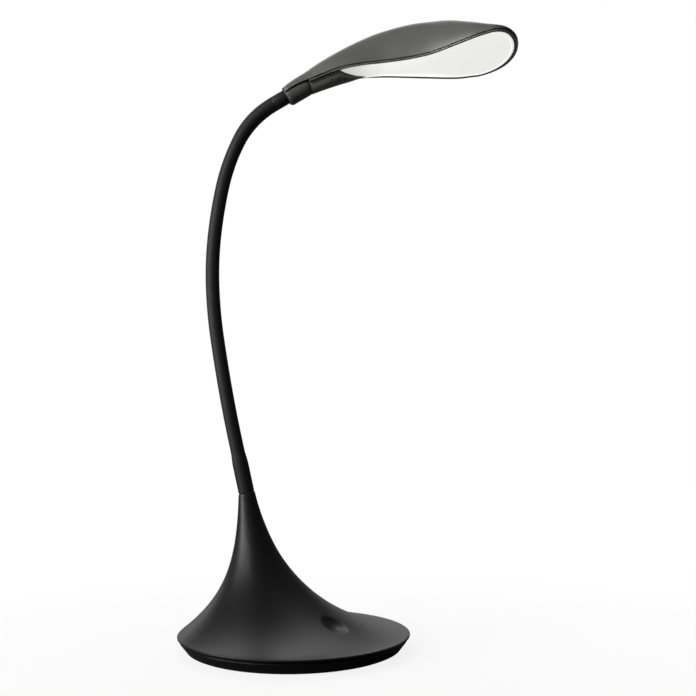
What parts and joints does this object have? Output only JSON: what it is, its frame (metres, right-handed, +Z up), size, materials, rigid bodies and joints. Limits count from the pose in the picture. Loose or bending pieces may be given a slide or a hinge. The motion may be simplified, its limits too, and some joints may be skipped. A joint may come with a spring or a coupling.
{
  "type": "gooseneck desk lamp",
  "caption": "LED desk lamp: flared round base with touch dimple, bendable round neck, flat teardrop head with opal panel",
  "frame": {"origin": "centre of the base, on the underside of the foot pad that rests on the table", "axes": "+Z up, +X from the base towards the head, +Y the rest of a right-handed frame; the XZ plane is the lamp's mirror plane at rest"},
  "size_m": [0.2435, 0.16, 0.4535],
  "materials": {
    "base_black": "fine matte black",
    "pad_rubber": "matte foam rubber",
    "ballast_steel": "plain plate",
    "fixing_steel": "zinc plated",
    "board_green": "solder mask",
    "chip_black": "moulded",
    "can_aluminium": "plain",
    "connector_white": "moulded",
    "touch_brass": "plain",
    "sleeve_rubber": "smooth satin black",
    "hose_steel": "wound strip",
    "lead_jacket": "smooth",
    "collar_black": "satin black",
    "cover_black": "fine matte black",
    "shell_grey": "satin warm grey",
    "trim_grey": "satin dark grey",
    "diffuser_white": "opal white",
    "guide_clear": "clear acrylic",
    "led_strip_white": "white solder mask",
    "led_yellow": "phosphor"
  },
  "bodies": {
    "base": {"ballast_plate": "ballast_steel", "base_pan": "base_black", "base_shell": "base_black", "board_screws": "fixing_steel", "capacitors": "can_aluminium", "control_board": "board_green", "driver_chip": "chip_black", "ferrule_nut": "fixing_steel", "ferrule_washer": "fixing_steel", "foot_pad": "pad_rubber", "inductor": "chip_black", "inlet_housing": "base_black", "inlet_lead": "lead_jacket", "inlet_pin": "touch_brass", "lamp_lead": "lead_jacket", "lead_connectors": "connector_white", "lower_ferrule": "hose_steel", "pan_screws": "fixing_steel", "touch_chip": "chip_black", "touch_plate": "touch_brass", "touch_spring": "fixing_steel", "neck_sleeve_1": "sleeve_rubber", "neck_hose_1": "hose_steel", "neck_cable_1": "lead_jacket"},
    "link_2": {"neck_sleeve_2": "sleeve_rubber", "neck_hose_2": "hose_steel", "neck_cable_2": "lead_jacket"},
    "link_3": {"neck_sleeve_3": "sleeve_rubber", "neck_hose_3": "hose_steel", "neck_cable_3": "lead_jacket"},
    "link_4": {"neck_sleeve_4": "sleeve_rubber", "neck_hose_4": "hose_steel", "neck_cable_4": "lead_jacket"},
    "link_5": {"neck_sleeve_5": "sleeve_rubber", "neck_hose_5": "hose_steel", "neck_cable_5": "lead_jacket"},
    "link_6": {"neck_sleeve_6": "sleeve_rubber", "neck_hose_6": "hose_steel", "neck_cable_6": "lead_jacket"},
    "link_7": {"neck_sleeve_7": "sleeve_rubber", "neck_hose_7": "hose_steel", "neck_cable_7": "lead_jacket"},
    "head": {"upper_ferrule": "collar_black", "neck_socket": "cover_black", "socket_nut": "fixing_steel", "head_shell": "shell_grey", "lower_cover": "cover_black", "head_trim": "trim_grey", "diffuser": "diffuser_white", "light_guide": "guide_clear", "reflector_sheet": "connector_white", "heat_plate": "can_aluminium", "led_board": "led_strip_white", "led_packages": "led_yellow", "head_screws": "fixing_steel", "head_lead": "lead_jacket", "neck_sleeve_8": "sleeve_rubber", "neck_hose_8": "hose_steel", "neck_cable_8": "lead_jacket"}
  },
  "joints": [
    {"name": "neck_bend_1", "type": "hinge", "parent": "base", "child": "link_2", "pos_m": [-0.04292, 0, 0.14204], "axis": [0, 1, 0], "range_deg": [-15, 15]},
    {"name": "neck_bend_2", "type": "hinge", "parent": "link_2", "child": "link_3", "pos_m": [-0.05065, 0, 0.17873], "axis": [0.9823, 0, 0.1874], "range_deg": [-15, 15]},
    {"name": "neck_bend_3", "type": "hinge", "parent": "link_3", "child": "link_4", "pos_m": [-0.05713, 0, 0.21566], "axis": [0, 1, 0], "range_deg": [-15, 15]},
    {"name": "neck_bend_4", "type": "hinge", "parent": "link_4", "child": "link_5", "pos_m": [-0.06108, 0, 0.25294], "axis": [0.9986, 0, 0.0523], "range_deg": [-15, 15]},
    {"name": "neck_bend_5", "type": "hinge", "parent": "link_5", "child": "link_6", "pos_m": [-0.06043, 0, 0.2904], "axis": [0, 1, 0], "range_deg": [-15, 15]},
    {"name": "neck_bend_6", "type": "hinge", "parent": "link_6", "child": "link_7", "pos_m": [-0.05515, 0, 0.32751], "axis": [0.981, 0, -0.1942], "range_deg": [-15, 15]},
    {"name": "neck_bend_7", "type": "hinge", "parent": "link_7", "child": "head", "pos_m": [-0.04337, 0, 0.36301], "axis": [0, 1, 0], "range_deg": [-15, 15]}
  ]
}
